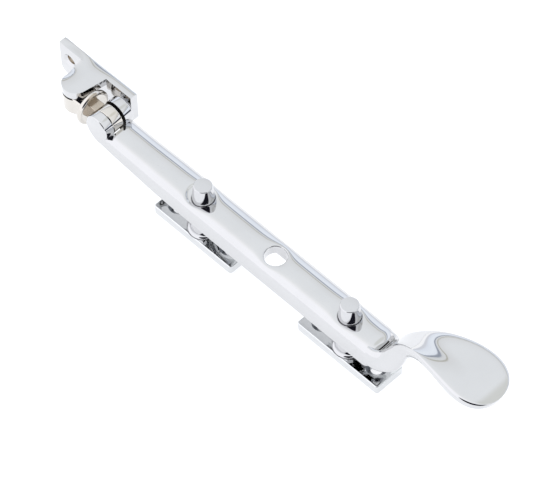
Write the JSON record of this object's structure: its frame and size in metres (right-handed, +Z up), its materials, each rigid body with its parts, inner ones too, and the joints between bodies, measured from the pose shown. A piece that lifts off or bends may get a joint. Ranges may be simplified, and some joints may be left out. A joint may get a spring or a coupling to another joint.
{
  "type": "casement window stay",
  "caption": "Casement stay whose holed arm drops over pins on screw-down plates, ends in a raised spoon handle, and swivels and lifts on a bracket screwed to the sash.",
  "frame": {"origin": "Middle of the sash plate's back face, the face that bears on the window sash.", "axes": "+X runs along the arm from the bracket to the spoon, +Y goes into the sash, +Z is up, the way the pins point."},
  "size_m": [0.2305, 0.023, 0.0485],
  "materials": {
    "chrome_casting": "polished",
    "chrome_turned": "polished",
    "steel_washer": "dull"
  },
  "bodies": {
    "bracket": {"sash_bracket": "chrome_casting", "pivot_rivet": "chrome_turned", "pivot_washer": "steel_washer"},
    "swivel": {"swivel_block": "chrome_casting"},
    "arm": {"stay_arm": "chrome_casting", "hinge_pin": "chrome_turned"},
    "near_pin": {"stay_pin_near": "chrome_turned", "pin_plate_near": "chrome_casting"},
    "far_pin": {"stay_pin_far": "chrome_turned", "pin_plate_far": "chrome_casting"}
  },
  "joints": [
    {"name": "swivel", "type": "hinge", "parent": "bracket", "child": "swivel", "pos_m": [-0.0008, -0.0119, 0], "axis": [0, 0, -1], "range_deg": [0, 180]},
    {"name": "lift", "type": "hinge", "parent": "swivel", "child": "arm", "pos_m": [0.0169, -0.0119, 0.00245], "axis": [0, -1, 0], "range_deg": [0, 90]},
    {"name": "near_pin_release", "type": "slide", "parent": "arm", "child": "near_pin", "axis": [0, 0, -1], "range_m": [0, 0.025]},
    {"name": "far_pin_release", "type": "slide", "parent": "arm", "child": "far_pin", "axis": [0, 0, -1], "range_m": [0, 0.025]}
  ]
}
